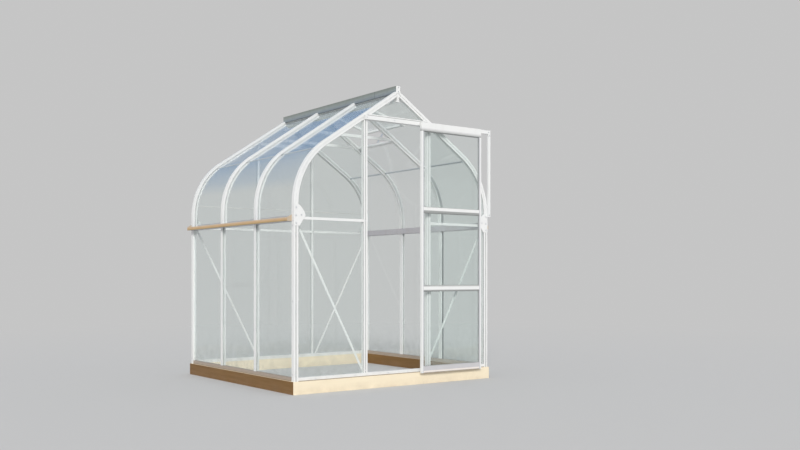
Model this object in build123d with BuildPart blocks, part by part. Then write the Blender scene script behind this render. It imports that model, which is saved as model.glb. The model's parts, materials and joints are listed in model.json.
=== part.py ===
from build123d import *
import os
from math import cos, degrees, radians, sin

# A hobby greenhouse with curved eaves. X runs across the front gable, Y to the back, Z up.
# The origin is on the ground at the middle of the whole object's outline.

# Overall frame
frame_width = 1940.0
bay_pitch = 602.5
bay_count = 3
base_height = 98.0
base_thickness = 50.0
base_proud = 10.0
sill_height = 29.0
roof_slope = 33.6
eave_radius = 600.0
gutter_height = 1303.0
eave_spring_rise = 127.0
pane_joint_turn = 50.5

# Arch bars: a cap and a hollow inner box on one web, with a slot on each side for the panes
bar_width = 34.0
bar_depth = 40.0
cap_depth = 20.0
cap_wall = 2.5
flange = 3.0
web = 3.0
ledge = 2.0
box_wall = 2.0
face_groove = 5.0

# Panes
pane = 4.0
edge_clearance = 2.0
curve_clearance = 0.3
rebate = 8.0

# Rails with a groove for the pane behind a front lip
lip = 3.0
groove_width = 4.5
groove_depth = 12.0
tube_wall = 2.5

# Gable bars
jamb_spacing = 637.0
jamb_width = 36.0
jamb_groove_width = 6.0
jamb_groove_depth = 1.0
stud_spacing = 595.0
stud_width = 18.0
stud_depth = 20.0
header_drop = 269.2
header_height = 47.0
back_header_height = 34.0
mid_rail_rise = 13.5
mid_rail_height = 21.0
mid_rail_depth = 28.0
mid_rail_groove = 8.0
brace_width = 18.0
brace_thickness = 3.0
brace_top_inset = 39.0
brace_foot_out = 8.0
back_foot_half = 316.0
back_foot_drop = 8.0

# Side wall posts and sills
side_pane_inset = 12.0
side_post_width = 36.0
side_post_depth = 30.0
side_sill_inset = 4.0
side_fin_reach = 12.0

# Gutter beam
gutter_reach = 39.0
gutter_wall = 3.0
gutter_depth = 50.0
gutter_rim = 29.0
gutter_lip = 8.0
gutter_cap_thickness = 3.0

# Gusset plates at the eaves
gusset_thickness = 3.0
gusset_drop = 34.0
gusset_nose_rise = 47.0
gusset_top_rise = 130.0
gusset_nose = 101.0
gusset_crown = 37.0
gusset_foot = 50.0
gusset_bulge = 9.0

# Ridge
ridge_neck_width = 16.0
ridge_drop = 96.2
ridge_cap_drop = 26.2
ridge_cap_height = 59.0
ridge_cap_width = 40.0
ridge_bead_width = 32.0
ridge_bead_height = 4.0
ridge_groove = 2.0
ridge_end_thickness = 3.0

# Collar ties
tie_drop = 296.2
tie_depth = 25.0
tie_width = 20.0

# Door track and its strut
track_depth = 20.0
track_height = 31.0
track_wall = 2.0
track_lip = 9.0
track_overhang = 18.5
strut_width = 25.0
strut_depth = 17.0
strut_lap = 28.0

# Sliding door, shown open
door_gap = 26.0
door_depth = 20.0
door_width = 652.0
door_travel = 532.0
door_low = 93.0
door_over_header = 28.0
door_top_rail = 72.0
door_bottom_rail = 55.0
door_mid_rail = 45.0
door_mid_rail_lows = (766.0, 1412.0)
door_stile = 22.0
hanger_offset = 200.0
hanger_width = 30.0
hanger_thickness = 3.0
hanger_drop = 25.0
roller_radius = 12.0
roller_width = 4.5
roller_gap = 0.3
axle_radius = 3.0

# Roof vent over the middle bay of the right slope, propped open
vent_angle = 15.8
vent_length = 548.0
vent_side_gap = 20.0
vent_bar = 22.0
vent_bar_depth = 18.0
vent_hinge_rise = 36.0
vent_sill_distance = 302.0
vent_sill_width = 25.0
stay_width = 14.0
stay_thickness = 3.0

# Worked out
half_width = frame_width / 2
frame_depth = bay_pitch * bay_count + bar_width
door_reach = door_gap + door_depth
frame_middle = (door_reach - base_proud) / 2
arc_middle = half_width - eave_radius
arc_turn = 90.0 - roof_slope
gutter_floor = gutter_height + gutter_wall
eave_spring_height = gutter_height + eave_spring_rise
arch_places = [frame_middle + (n - bay_count / 2) * bay_pitch for n in range(bay_count + 1)]
bay_middles = [frame_middle + (n - (bay_count - 1) / 2) * bay_pitch for n in range(bay_count)]
pane_length = bay_pitch - web - 2 * edge_clearance
sill_top = base_height + sill_height
jamb_half = jamb_spacing / 2
stud_half = stud_spacing / 2
pane_depth = cap_depth + curve_clearance
ledge_depth = pane_depth + pane + curve_clearance
post_depth = bar_depth - rebate
gable_pane_depth = post_depth + edge_clearance
FRONT = -1
BACK = 1
SIDES = (-1, 1)


def gable_y(facing, depth):
    """Y at a depth behind the outer face of the front or back gable."""
    return frame_middle + facing * (frame_depth / 2 - depth)


def slope_point(side, along, depth):
    """X and Z on a roof slope: along is up the slope from the end of the curve."""
    turn = radians(arc_turn)
    x = arc_middle + (eave_radius - depth) * cos(turn) - along * sin(turn)
    z = eave_spring_height + (eave_radius - depth) * sin(turn) + along * cos(turn)
    return (side * x, z)


def slope_reach(x, depth):
    """How far up the slope the line at this depth reaches a given X."""
    turn = radians(arc_turn)
    return (arc_middle + (eave_radius - depth) * cos(turn) - x) / sin(turn)


def outline_height(x):
    """Height of the arches' outer roof line at a given X."""
    return slope_point(1, slope_reach(x, 0), 0)[1]


apex_height = outline_height(0)
header_low = apex_height - header_drop
mid_rail_low = gutter_height + mid_rail_rise
gusset_top = gutter_height + gusset_top_rise
ridge_low = apex_height - ridge_drop
ridge_cap_low = apex_height - ridge_cap_drop
track_end = half_width + track_overhang
door_high = header_low + door_over_header


def export(part_builder, name):
    part_builder.part.label = name
    export_step(part_builder.part, "parts/" + name + ".step")


def arch_room(depth, near, far):
    """The space inside the arch at a depth below its outer line, between two Y values."""
    with BuildPart() as room:
        with BuildSketch(Plane.XZ.offset(-far)):
            with BuildLine():
                Line((half_width - depth, 0), (half_width - depth, eave_spring_height))
                curve = CenterArc(
                    (arc_middle, eave_spring_height), eave_radius - depth, 0, arc_turn
                )
                Line(curve @ 1, slope_point(1, slope_reach(0, depth), depth))
                mirror(about=Plane.YZ)
                Line((-(half_width - depth), 0), (half_width - depth, 0))
            make_face()
        extrude(amount=far - near)
    return room.part


def gable_room(facing):
    """The space for gable bars, inside the arch of that gable."""
    return arch_room(bar_depth, *sorted((gable_y(facing, 0), gable_y(facing, bar_width))))


def arch_bar(side, y, facing=0):
    """One swept bar: straight foot, curved eave and straight rafter, notched under the ridge cap.

    In a gable the side it faces has a rebate for the gable pane and a shallow groove above it.
    """
    outward = -side * facing
    pocket = (lip + groove_width) if facing else 0
    face = bar_width / 2 - face_groove
    channel = bar_width / 2 - cap_wall - web / 2
    box_top = ledge_depth + ledge
    box_floor = bar_depth - flange
    with BuildLine(Plane.XZ.offset(-y)) as run:
        Line((side * half_width, gutter_floor), (side * half_width, eave_spring_height))
        curve = CenterArc(
            (side * arc_middle, eave_spring_height),
            eave_radius,
            0 if side > 0 else 180,
            side * arc_turn,
        )
        Line(curve @ 1, slope_point(side, slope_reach(-bar_depth, 0), 0))
    foot = Plane(origin=(side * half_width, y, gutter_floor), x_dir=(-side, 0, 0), z_dir=(0, 0, 1))
    with BuildPart() as bar:
        with BuildSketch(foot) as section:
            with Locations((cap_depth / 2, 0)):
                Rectangle(cap_depth, bar_width)
            with Locations(((ledge_depth + bar_depth) / 2, -outward * pocket / 2)):
                Rectangle(bar_depth - ledge_depth, bar_width - pocket)
            if facing:
                with Locations((post_depth / 2, outward * face / 2)):
                    Rectangle(post_depth, face)
                with Locations((bar_depth - (rebate + ledge) / 2, outward * (bar_width - lip) / 2)):
                    Rectangle(rebate + ledge, lip)
            for edge in (-1, 1):
                low = cap_depth - (cap_wall if edge == outward else 0)
                with Locations(((flange + low) / 2, edge * (web + channel) / 2)):
                    Rectangle(low - flange, channel, mode=Mode.SUBTRACT)
            with Locations(((box_top + box_floor) / 2, -outward * pocket / 2)):
                Rectangle(
                    box_floor - box_top, bar_width - pocket - 2 * box_wall, mode=Mode.SUBTRACT
                )
            if facing:
                chamber_top = cap_depth - cap_wall
                chamber_floor = post_depth - ledge
                chamber = face - cap_wall - web / 2
                with Locations(
                    ((chamber_top + chamber_floor) / 2, outward * (web + chamber) / 2)
                ):
                    Rectangle(chamber_floor - chamber_top, chamber, mode=Mode.SUBTRACT)
                with Locations((chamber_floor + ledge / 2, outward * bar_width / 4)):
                    Rectangle(ledge, bar_width / 2)
            web_end = post_depth if facing else box_top
            with Locations((web_end / 2, 0)):
                Rectangle(web_end, web)
        sweep(sections=section.sketch, path=run.line)
        split(
            bisect_by=Plane.YZ.offset(side * ridge_neck_width / 2),
            keep=Keep.TOP if side > 0 else Keep.BOTTOM,
        )
        with Locations((0, y, ridge_cap_low)):
            Box(
                ridge_cap_width,
                2 * bar_width,
                ridge_cap_height,
                align=(Align.CENTER, Align.CENTER, Align.MIN),
                mode=Mode.SUBTRACT,
            )
    return bar.part


def grooved_rail(
    facing, start, end, low, height, depth, top_groove=True, bottom_groove=False, groove=groove_depth
):
    """A hollow rail along X in a gable, with grooves behind its front lip."""
    with BuildPart() as rail:
        with BuildSketch(Plane.YZ.offset(start)):
            with Locations((gable_y(facing, depth / 2), low + height / 2)):
                Rectangle(depth, height)
            groove_middle = gable_y(facing, lip + groove_width / 2)
            if top_groove:
                with Locations((groove_middle, low + height - groove / 2)):
                    Rectangle(groove_width, groove, mode=Mode.SUBTRACT)
            if bottom_groove:
                with Locations((groove_middle, low + groove / 2)):
                    Rectangle(groove_width, groove, mode=Mode.SUBTRACT)
            hollow_start = lip + groove_width + tube_wall
            hollow = depth - hollow_start - tube_wall
            with Locations((gable_y(facing, hollow_start + hollow / 2), low + height / 2)):
                Rectangle(hollow, height - 2 * tube_wall, mode=Mode.SUBTRACT)
        extrude(amount=end - start)
    return rail.part


def gable_post(facing, x, low, high, width, depth):
    """A hollow post in a gable, with a slot on each side for the panes behind its outer flange."""
    slot = lip + groove_width
    box = depth - slot
    with BuildPart() as post:
        with BuildSketch(Plane.XY.offset(low)):
            with Locations((x, gable_y(facing, lip / 2))):
                Rectangle(width, lip)
            with Locations((x, gable_y(facing, 0))):
                Rectangle(jamb_groove_width, 2 * jamb_groove_depth, mode=Mode.SUBTRACT)
            with Locations((x, gable_y(facing, lip + groove_width / 2))):
                Rectangle(web, groove_width)
            with Locations((x, gable_y(facing, slot + box / 2))):
                Rectangle(width, box)
                Rectangle(width - 2 * tube_wall, box - 2 * tube_wall, mode=Mode.SUBTRACT)
        extrude(amount=high - low)
    return post.part


def brace(facing, side):
    """A flat diagonal brace on the inner face of a gable, down from the corner.

    It ends on the foot of a door jamb in front, and on the sill beside the shallow stud behind.
    """
    with BuildPart() as strip:
        y = gable_y(facing, bar_width)
        top = (side * (half_width - brace_top_inset), gutter_height)
        foot = (side * (jamb_half + brace_foot_out), sill_top + brace_width)
        if facing == BACK:
            foot = (side * back_foot_half, sill_top - back_foot_drop)
        with BuildSketch(Plane.XZ.offset(-y)):
            with BuildLine():
                lower = Line(foot, top)
                Line(top, top + brace_width * (lower % 1))
            trace(line_width=brace_width)
        extrude(amount=facing * brace_thickness)
        split(bisect_by=Plane.XY.offset(gutter_height), keep=Keep.BOTTOM)
    return strip.part


os.makedirs("parts", exist_ok=True)

# Base box of four kerbs
base_half = frame_depth / 2 + base_proud
for facing, name in ((FRONT, "base_front"), (BACK, "base_back")):
    with BuildPart() as kerb:
        with BuildSketch(Plane.XY):
            with Locations((0, frame_middle + facing * (base_half - base_thickness / 2))):
                Rectangle(frame_width + 2 * base_proud, base_thickness)
        extrude(amount=base_height)
    export(kerb, name)

with BuildPart() as base_sides:
    with BuildSketch(Plane.XY):
        for side in SIDES:
            with Locations((side * (half_width + base_proud - base_thickness / 2), frame_middle)):
                Rectangle(base_thickness, 2 * (base_half - base_thickness))
    extrude(amount=base_height)
export(base_sides, "base_sides")

# Sill rails on the base, between the corner posts
post_inner = half_width - bar_depth
for facing, name in ((FRONT, "sill_front"), (BACK, "sill_back")):
    with BuildPart() as sill:
        add(
            grooved_rail(
                facing, -post_inner, post_inner, base_height, sill_height, bar_width
            )
        )
    export(sill, name)

side_pane_outer = half_width - side_pane_inset
side_pane_inner = side_pane_outer - pane
side_sill_outer = half_width - side_sill_inset
side_sill_length = frame_depth - 2 * bar_width
with BuildPart() as side_sills:
    for side in SIDES:
        with BuildSketch(Plane.XZ.offset(-(frame_middle + side_sill_length / 2))):
            with Locations(
                (side * (side_sill_outer - side_post_depth / 2), base_height + sill_height / 2)
            ):
                Rectangle(side_post_depth, sill_height)
            with Locations(
                (side * (side_pane_inner + groove_width / 2), sill_top - groove_depth / 2)
            ):
                Rectangle(groove_width, groove_depth, mode=Mode.SUBTRACT)
        extrude(amount=side_sill_length)
        for facing in (FRONT, BACK):
            with Locations(
                (
                    side * (side_pane_inner - flange / 2),
                    gable_y(facing, bar_width + side_fin_reach / 2),
                    0,
                )
            ):
                Box(flange, side_fin_reach, 2 * sill_top, mode=Mode.SUBTRACT)
export(side_sills, "side_sills")

# Corner posts: hollow, with a fin for the side pane and a lip for the gable pane
with BuildPart() as corner_posts:
    with BuildSketch(Plane.XY.offset(base_height)):
        for facing in (FRONT, BACK):
            for side in SIDES:
                middle = (side * (half_width - post_depth / 2), gable_y(facing, bar_width / 2))
                side_fin = (
                    side * (side_pane_inner - flange / 2),
                    gable_y(facing, bar_width + side_fin_reach / 2),
                )
                gable_lip = (side * (post_inner + rebate / 2), gable_y(facing, lip / 2))
                with Locations(middle):
                    Rectangle(post_depth, bar_width)
                    Rectangle(
                        post_depth - 2 * tube_wall, bar_width - 2 * tube_wall, mode=Mode.SUBTRACT
                    )
                with Locations(side_fin):
                    Rectangle(flange, side_fin_reach)
                with Locations(gable_lip):
                    Rectangle(rebate, lip)
    extrude(amount=gutter_height - base_height)
export(corner_posts, "corner_posts")

# Side wall posts
inner_box = side_post_depth - side_pane_inset - pane
with BuildPart() as wall_posts:
    with BuildSketch(Plane.XY.offset(sill_top)):
        for side in SIDES:
            for y in arch_places[1:-1]:
                with Locations((side * (half_width - flange / 2), y)):
                    Rectangle(flange, side_post_width)
                with Locations((side * (half_width - side_post_depth / 2), y)):
                    Rectangle(side_post_depth - flange, web)
                with Locations((side * (side_pane_inner - inner_box / 2), y)):
                    Rectangle(inner_box, side_post_width)
    extrude(amount=gutter_height - sill_top)
export(wall_posts, "wall_posts")

# Gutter beams: a trough beside the feet of the arches, which stand on its floor.
# The trough starts behind the front corner post, and the inner wall is higher than the rim.
trough_outer = half_width + gutter_reach
trough_inner = post_inner - gutter_wall
for side, name in ((-1, "gutter_left"), (1, "gutter_right")):
    with BuildPart() as gutter:
        with BuildSketch(Plane.XZ.offset(-gable_y(BACK, 0))):
            with Locations((side * (trough_outer + trough_inner) / 2, gutter_height + gutter_wall / 2)):
                Rectangle(trough_outer - trough_inner, gutter_wall)
            with Locations((side * (trough_inner + gutter_wall / 2), gutter_height + gutter_depth / 2)):
                Rectangle(gutter_wall, gutter_depth)
            with Locations((side * (trough_outer - gutter_wall / 2), gutter_height + gutter_rim / 2)):
                Rectangle(gutter_wall, gutter_rim)
            with Locations(
                (side * (trough_outer - gutter_lip / 2), gutter_height + gutter_rim - gutter_wall / 2)
            ):
                Rectangle(gutter_lip, gutter_wall)
        extrude(amount=frame_depth)
        with Locations(
            (side * (half_width + gutter_reach / 2), gable_y(FRONT, bar_width / 2), gutter_height)
        ):
            Box(gutter_reach, bar_width, 2 * gutter_depth, mode=Mode.SUBTRACT)
        for facing in (FRONT, BACK):
            with Locations(
                (
                    side * (trough_inner + gutter_wall / 2),
                    gable_y(facing, bar_width / 2),
                    gutter_height + gutter_depth / 2,
                )
            ):
                Box(gutter_wall, bar_width, gutter_depth, mode=Mode.SUBTRACT)
            with Locations(
                (
                    side * (post_inner + rebate / 2),
                    gable_y(facing, lip + groove_width / 2),
                    gutter_height + gutter_wall / 2,
                )
            ):
                Box(rebate, groove_width, gutter_wall, mode=Mode.SUBTRACT)
    export(gutter, name)

# End caps of the troughs, cut from the high inner wall down to the rim
with BuildPart() as gutter_end_caps:
    for cap_back in (gable_y(FRONT, bar_width), gable_y(BACK, -gutter_cap_thickness)):
        with BuildSketch(Plane.XZ.offset(-cap_back)):
            for side in SIDES:
                with BuildLine():
                    Polyline(
                        (side * half_width, gutter_height),
                        (side * trough_outer, gutter_height),
                        (side * trough_outer, gutter_height + gutter_rim),
                        (side * half_width, gutter_height + gutter_depth),
                        close=True,
                    )
                make_face()
        extrude(amount=gutter_cap_thickness)
export(gutter_end_caps, "gutter_end_caps")

# Arches
for name, places, facing in (
    ("front_arch", arch_places[:1], FRONT),
    ("middle_arches", arch_places[1:-1], 0),
    ("back_arch", arch_places[-1:], BACK),
):
    with BuildPart() as arch:
        for y in places:
            for side in SIDES:
                add(arch_bar(side, y, facing))
    export(arch, name)

# Ridge: a beam under a tall cap with a groove along each side
with BuildPart() as ridge_beam:
    with BuildSketch(Plane.XZ.offset(-gable_y(BACK, 0))):
        with Locations((0, (ridge_low + ridge_cap_low) / 2)):
            Rectangle(ridge_neck_width, ridge_cap_low - ridge_low)
        with Locations((0, ridge_low + ridge_bead_height / 2)):
            Rectangle(ridge_bead_width, ridge_bead_height)
    extrude(amount=frame_depth)
export(ridge_beam, "ridge_beam")

with BuildPart() as ridge_cap:
    with BuildSketch(Plane.XZ.offset(-gable_y(BACK, 0))):
        with Locations((0, ridge_cap_low + ridge_cap_height / 2)):
            Rectangle(ridge_cap_width, ridge_cap_height)
        for side in SIDES:
            with Locations((side * ridge_cap_width / 2, ridge_cap_low + ridge_cap_height / 3)):
                Rectangle(2 * ridge_groove, 2 * ridge_groove, mode=Mode.SUBTRACT)
    extrude(amount=frame_depth)
export(ridge_cap, "ridge_cap")

with BuildPart() as ridge_end_caps:
    for facing in (FRONT, BACK):
        with Locations(
            (
                0,
                gable_y(facing, -ridge_end_thickness / 2),
                ridge_cap_low + ridge_cap_height / 2,
            )
        ):
            Box(ridge_cap_width, ridge_end_thickness, ridge_cap_height)
export(ridge_end_caps, "ridge_end_caps")

# Collar ties across the two middle arches
with BuildPart() as collar_ties:
    for y in arch_places[1:-1]:
        with Locations((0, y, apex_height - tie_drop)):
            Box(frame_width, tie_width, tie_depth)
    add(
        arch_room(bar_depth, arch_places[0], arch_places[-1]),
        mode=Mode.INTERSECT,
    )
export(collar_ties, "collar_ties")

# Gusset plates over the corners of both gables
with BuildPart() as gusset_plates:
    for facing in (FRONT, BACK):
        plane_y = gable_y(facing, 0)
        for side in SIDES:
            nose = (side * (half_width - gusset_nose), gutter_height + gusset_nose_rise)
            crown = (side * (half_width - gusset_crown), gusset_top)
            swell = (
                (nose[0] + crown[0]) / 2 - side * gusset_bulge * sin(radians(45)),
                (nose[1] + crown[1]) / 2 + gusset_bulge * sin(radians(45)),
            )
            with BuildSketch(Plane.XZ.offset(-plane_y)):
                with BuildLine():
                    ThreePointArc(nose, swell, crown)
                    Polyline(
                        crown,
                        (side * half_width, gusset_top),
                        (side * half_width, gutter_height - gusset_drop),
                        (side * (half_width - gusset_foot), gutter_height - gusset_drop),
                        nose,
                    )
                make_face()
            extrude(amount=-facing * gusset_thickness)
export(gusset_plates, "gusset_plates")

# Front gable: jambs, header and mid rails
with BuildPart() as door_jambs:
    for side in SIDES:
        add(
            gable_post(
                FRONT, side * jamb_half, sill_top, header_low + header_height,
                jamb_width, bar_width,
            )
        )
    add(gable_room(FRONT), mode=Mode.INTERSECT)
export(door_jambs, "door_jambs")

jamb_inner = jamb_half - jamb_width / 2
jamb_outer = jamb_half + jamb_width / 2
with BuildPart() as front_header:
    add(grooved_rail(FRONT, -jamb_inner, jamb_inner, header_low, header_height, bar_width))
    add(gable_room(FRONT), mode=Mode.INTERSECT)
export(front_header, "front_header")

stud_inner = stud_half - stud_width / 2
stud_outer = stud_half + stud_width / 2
front_rails = ((-post_inner, -jamb_outer), (jamb_outer, post_inner))
back_rails = ((-post_inner, -stud_outer), (-stud_inner, stud_inner), (stud_outer, post_inner))
for facing, name, spans in (
    (FRONT, "front_mid_rails", front_rails),
    (BACK, "back_mid_rails", back_rails),
):
    with BuildPart() as mid_rails:
        for start, end in spans:
            add(
                grooved_rail(
                    facing, start, end, mid_rail_low, mid_rail_height, mid_rail_depth,
                    bottom_groove=True, groove=mid_rail_groove,
                )
            )
        add(gable_room(facing), mode=Mode.INTERSECT)
    export(mid_rails, name)

# Back gable: studs and header
with BuildPart() as back_studs:
    for side in SIDES:
        add(
            gable_post(
                BACK, side * stud_half, sill_top, header_low + header_height,
                stud_width, stud_depth,
            )
        )
    add(gable_room(BACK), mode=Mode.INTERSECT)
export(back_studs, "back_studs")

with BuildPart() as back_header:
    add(
        grooved_rail(
            BACK, -stud_inner, stud_inner, header_low, back_header_height, bar_width,
            bottom_groove=True,
        )
    )
    add(gable_room(BACK), mode=Mode.INTERSECT)
export(back_header, "back_header")

with BuildPart() as gable_braces:
    for facing in (FRONT, BACK):
        for side in SIDES:
            add(brace(facing, side))
export(gable_braces, "gable_braces")


# Panes
def gable_panes(facing, header_top, post_half, middle):
    """Flat panes of one gable, each trimmed to the arch and seated in its grooves."""
    y_outer = gable_y(facing, lip)
    y_inner = gable_y(facing, lip + pane)
    near, far = sorted((y_outer, y_inner))
    mid_seat = mid_rail_groove - edge_clearance
    lower = (sill_top - groove_depth + edge_clearance, mid_rail_low + mid_seat)
    upper_low = mid_rail_low + mid_rail_height - mid_seat
    upper = (upper_low, frame_width * 2)
    top_low = header_top - groove_depth + edge_clearance
    side_start = half_width - gable_pane_depth
    side_end = post_half + web / 2 + edge_clearance
    centre = post_half - web / 2 - edge_clearance
    spans = []
    for side in SIDES:
        spans.append((side * (side_start + side_end) / 2, side_start - side_end, *lower))
        spans.append((side * (side_start + side_end) / 2, side_start - side_end, *upper))
    if middle:
        spans.append((0, 2 * centre, *lower))
        spans.append((0, 2 * centre, upper_low, header_low + groove_depth - edge_clearance))
    with BuildPart() as panes:
        for x, width, low, high in spans:
            with Locations((x, (near + far) / 2, (low + high) / 2)):
                Box(width, far - near, high - low)
        top_high = ridge_low - edge_clearance
        with Locations((0, (near + far) / 2, (top_low + top_high) / 2)):
            Box(2 * centre, far - near, top_high - top_low)
        add(arch_room(gable_pane_depth, near, far), mode=Mode.INTERSECT)
    return panes


export(gable_panes(FRONT, header_low + header_height, jamb_half, False), "front_gable_panes")
export(gable_panes(BACK, header_low + back_header_height, stud_half, True), "back_gable_panes")

for side, name in ((-1, "left_wall_panes"), (1, "right_wall_panes")):
    low = sill_top - groove_depth + edge_clearance
    with BuildPart() as wall_panes:
        for index, y in enumerate(bay_middles):
            near = y - bay_pitch / 2 + web / 2 + edge_clearance
            far = y + bay_pitch / 2 - web / 2 - edge_clearance
            if index == 0:
                near = gable_y(FRONT, bar_width) + edge_clearance
            if index == bay_count - 1:
                far = gable_y(BACK, bar_width) - edge_clearance
            with Locations(
                (side * (side_pane_outer - pane / 2), (near + far) / 2, (low + gutter_height) / 2)
            ):
                Box(pane, far - near, gutter_height - low)
    export(wall_panes, name)

for side, name in ((-1, "left_eave_panes"), (1, "right_eave_panes")):
    start = 0 if side > 0 else 180
    centre = (side * arc_middle, eave_spring_height)
    foot = gutter_floor + edge_clearance
    with BuildPart() as eave_panes:
        for y in bay_middles:
            with BuildSketch(Plane.XZ.offset(-(y + pane_length / 2))):
                with BuildLine():
                    outer = CenterArc(centre, eave_radius - pane_depth, start, side * pane_joint_turn)
                    inner = CenterArc(
                        centre, eave_radius - pane_depth - pane, start, side * pane_joint_turn
                    )
                    Line(outer @ 1, inner @ 1)
                    Polyline(
                        outer @ 0,
                        (side * (half_width - pane_depth), foot),
                        (side * (half_width - pane_depth - pane), foot),
                        inner @ 0,
                    )
                make_face()
            extrude(amount=pane_length)
    export(eave_panes, name)


def roof_pane(side, y, top_outer, top_inner):
    """A roof pane from its joint on the curve up to the given places along the slope."""
    begin = pane_joint_turn + degrees(edge_clearance / eave_radius)
    start = begin if side > 0 else 180 - begin
    turn = side * (arc_turn - begin)
    middle = (side * arc_middle, eave_spring_height)
    with BuildPart() as sheet:
        with BuildSketch(Plane.XZ.offset(-(y + pane_length / 2))):
            with BuildLine():
                outer = CenterArc(middle, eave_radius - pane_depth, start, turn)
                inner = CenterArc(middle, eave_radius - pane_depth - pane, start, turn)
                Line(outer @ 0, inner @ 0)
                Polyline(
                    outer @ 1,
                    slope_point(side, top_outer, pane_depth),
                    slope_point(side, top_inner, pane_depth + pane),
                    inner @ 1,
                )
            make_face()
        extrude(amount=pane_length)
    return sheet.part


ridge_stop = ridge_neck_width / 2 + edge_clearance
full_outer = slope_reach(ridge_stop, pane_depth)
full_inner = slope_reach(ridge_stop, pane_depth + pane)
vent_bay = bay_count // 2
for side, name in ((-1, "left_roof_panes"), (1, "right_roof_panes")):
    with BuildPart() as roof_panes:
        for index, y in enumerate(bay_middles):
            if side == 1 and index == vent_bay:
                add(roof_pane(side, y, vent_sill_distance, vent_sill_distance))
            else:
                add(roof_pane(side, y, full_outer, full_inner))
    export(roof_panes, name)

# Door track on the header, and the strut under its free end
track_start = -jamb_outer
track_low = header_low
with BuildPart() as door_track:
    with BuildSketch(Plane.YZ.offset(track_start)):
        y_back_face = gable_y(FRONT, 0)
        with Locations((y_back_face - track_depth / 2, track_low + track_height / 2)):
            Rectangle(track_depth, track_height)
            Rectangle(track_depth - 2 * track_wall, track_height - 2 * track_wall, mode=Mode.SUBTRACT)
        slot = track_depth - track_lip - track_wall
        with Locations((y_back_face - track_lip - slot / 2, track_low + track_wall / 2)):
            Rectangle(slot, track_wall, mode=Mode.SUBTRACT)
    extrude(amount=track_end - track_start)
export(door_track, "door_track")

strut_low = gusset_top - strut_lap
with BuildPart() as track_strut:
    with BuildSketch(Plane.XY.offset(strut_low)):
        with Locations(
            (track_end - strut_width / 2, gable_y(FRONT, -gusset_thickness - strut_depth / 2))
        ):
            Rectangle(strut_width, strut_depth)
            Rectangle(strut_width - 2 * tube_wall, strut_depth - 2 * tube_wall, mode=Mode.SUBTRACT)
    extrude(amount=track_low - strut_low)
export(track_strut, "track_strut")

# Sliding door: stiles and rails with grooves, and three panes
door_middle = door_travel
door_back = gable_y(FRONT, -door_gap)
door_y = door_back - door_depth / 2
door_pane_back = door_y + pane / 2
door_groove_y = door_pane_back - groove_width / 2
stile_high = door_high - door_top_rail
rail_length = door_width - 2 * door_stile
with BuildPart() as door_stiles:
    with BuildSketch(Plane.XY.offset(door_low)):
        for side in SIDES:
            with Locations((door_middle + side * (door_width - door_stile) / 2, door_y)):
                Rectangle(door_stile, door_depth)
            with Locations((door_middle + side * (rail_length + groove_depth) / 2, door_groove_y)):
                Rectangle(groove_depth, groove_width, mode=Mode.SUBTRACT)
    extrude(amount=stile_high - door_low)
export(door_stiles, "door_stiles")


def door_rail(low, height, length, grooves):
    """A door rail; grooves holds -1 for the lower edge and 1 for the upper edge."""
    with BuildPart() as rail:
        with BuildSketch(Plane.YZ.offset(door_middle - length / 2)):
            with Locations((door_y, low + height / 2)):
                Rectangle(door_depth, height)
            for edge in grooves:
                middle = low + height / 2 + edge * (height - groove_depth) / 2
                with Locations((door_groove_y, middle)):
                    Rectangle(groove_width, groove_depth, mode=Mode.SUBTRACT)
        extrude(amount=length)
    return rail.part


with BuildPart() as door_top_rail_part:
    add(door_rail(stile_high, door_top_rail, door_width, (-1,)))
export(door_top_rail_part, "door_top_rail")

with BuildPart() as door_bottom_rail_part:
    add(door_rail(door_low, door_bottom_rail, rail_length, (1,)))
export(door_bottom_rail_part, "door_bottom_rail")

with BuildPart() as door_mid_rails:
    for low in door_mid_rail_lows:
        add(door_rail(low, door_mid_rail, rail_length, (-1, 1)))
export(door_mid_rails, "door_mid_rails")

seat = groove_depth - edge_clearance
with BuildPart() as door_panes:
    lows = [door_low + door_bottom_rail] + [low + door_mid_rail for low in door_mid_rail_lows]
    highs = list(door_mid_rail_lows) + [stile_high]
    for low, high in zip(lows, highs):
        with Locations((door_middle, door_y, (low + high) / 2)):
            Box(rail_length + 2 * seat, pane, high - low + 2 * seat)
export(door_panes, "door_panes")

# Hangers and rollers that carry the door in its track
roller_y = gable_y(FRONT, -(track_lip - track_wall) / 2 - track_wall)
roller_z = track_low + track_wall + roller_gap + roller_radius
hanger_y = gable_y(FRONT, -track_lip - edge_clearance - hanger_thickness / 2)
hanger_low = track_low - hanger_drop
hanger_places = [(door_middle + side * hanger_offset) for side in SIDES]
with BuildPart() as door_hangers:
    for x in hanger_places:
        with BuildSketch(Plane.XZ.offset(-(hanger_y + hanger_thickness / 2))):
            with Locations((x, (hanger_low + roller_z + roller_radius) / 2)):
                Rectangle(hanger_width, roller_z + roller_radius - hanger_low)
        extrude(amount=hanger_thickness)
        foot_start = hanger_y - hanger_thickness / 2
        with Locations((x, (foot_start + door_back) / 2, hanger_low + hanger_thickness / 2)):
            Box(hanger_width, foot_start - door_back, hanger_thickness)
        with BuildSketch(Plane.XZ.offset(-(roller_y + roller_width / 2))):
            with Locations((x, roller_z)):
                Circle(axle_radius)
        extrude(amount=roller_y + roller_width / 2 - hanger_y)
export(door_hangers, "door_hangers")

with BuildPart() as door_rollers:
    for x in hanger_places:
        with BuildSketch(Plane.XZ.offset(-(roller_y + roller_width / 2))):
            with Locations((x, roller_z)):
                Circle(roller_radius)
                Circle(axle_radius + roller_gap, mode=Mode.SUBTRACT)
        extrude(amount=roller_width)
export(door_rollers, "door_rollers")

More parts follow.
